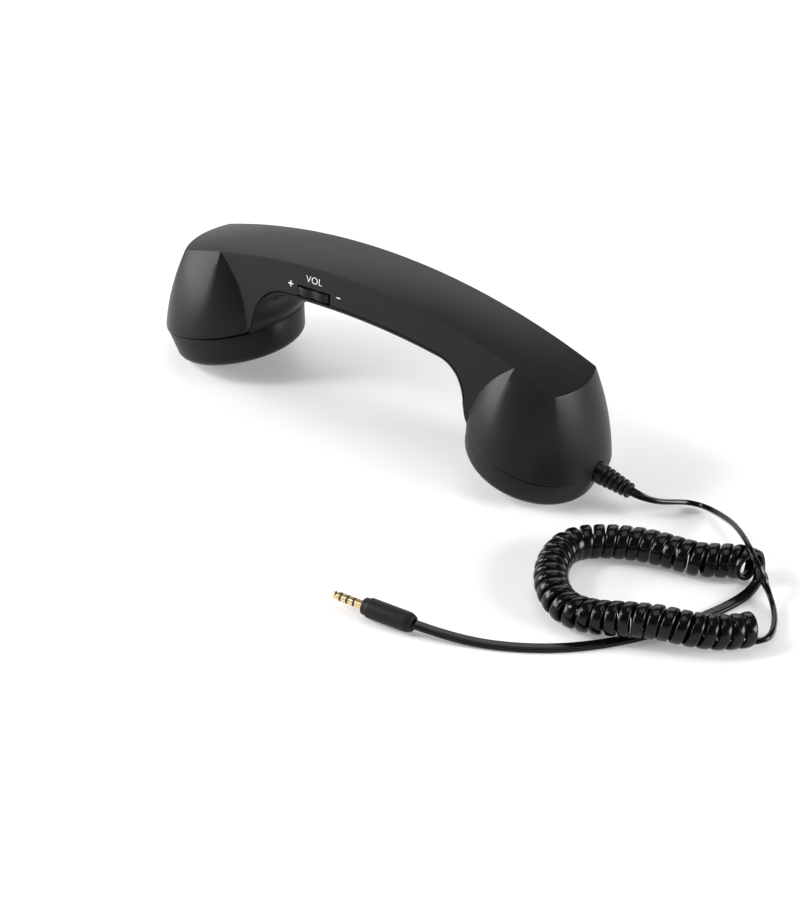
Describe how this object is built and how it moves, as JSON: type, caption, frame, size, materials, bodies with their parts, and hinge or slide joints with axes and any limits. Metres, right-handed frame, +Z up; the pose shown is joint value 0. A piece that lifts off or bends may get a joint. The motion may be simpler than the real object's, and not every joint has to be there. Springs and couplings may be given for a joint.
{
  "type": "telephone handset",
  "caption": "Black corded telephone handset with an arched handle, round ear and mouth cups, a volume rocker, a curly cord and a 3.5 mm jack plug, lying on its cups.",
  "frame": {"origin": "on the table, midway between the cups, under the middle of the handset without its cord", "axes": "+X runs along the handle to the mouth cup, where the cord leaves; -Y faces the side with the volume rocker; +Z is up"},
  "size_m": [0.3119, 0.1492, 0.0673],
  "materials": {
    "soft_shell": "soft-touch matte black",
    "soft_key": "matte black",
    "gloss_cord": "glossy black",
    "gloss_part": "moulded black",
    "rubber": "moulded, matte",
    "foam": "cut foam",
    "steel": "plain",
    "circuit_board": "lacquered",
    "jack_metal": "plated"
  },
  "bodies": {
    "housing": {"back_shell": "soft_shell", "front_shell": "soft_shell", "rocker_pin": "steel", "volume_board": "circuit_board", "volume_up_switch": "gloss_part", "volume_down_switch": "gloss_part", "call_switch": "gloss_part", "call_board": "circuit_board", "ear_plate": "soft_shell", "mouth_plate": "soft_shell", "receiver_gasket": "foam", "receiver": "gloss_part", "receiver_magnet": "steel", "microphone_boot": "rubber", "microphone": "steel", "screw_ear_end": "steel", "screw_mouth_end": "steel", "strain_relief": "gloss_cord", "receiver_wires": "gloss_cord", "microphone_wires": "gloss_cord", "cord_wires": "gloss_cord", "cord_lead": "gloss_cord", "cord_curl": "gloss_cord", "cord_tail": "gloss_cord", "plug_body": "rubber", "plug_sleeve": "jack_metal", "plug_band_1": "gloss_part", "plug_ring_1": "jack_metal", "plug_band_2": "gloss_part", "plug_ring_2": "jack_metal", "plug_band_3": "gloss_part", "plug_tip": "jack_metal"},
    "rocker": {"volume_rocker": "soft_key"},
    "button": {"call_button": "soft_key"}
  },
  "joints": [
    {"name": "volume_rocker_tilt", "type": "hinge", "parent": "housing", "child": "rocker", "pos_m": [-0.02356, -0.01301, 0.05348], "axis": [-0.0792, 0.1585, 0.9842], "range_deg": [-3, 3], "stiffness_Nm_per_rad": 0.05},
    {"name": "call_button_press", "type": "slide", "parent": "housing", "child": "button", "axis": [0, 0, 1], "range_m": [0, 0.0005], "stiffness_N_per_m": 600}
  ]
}
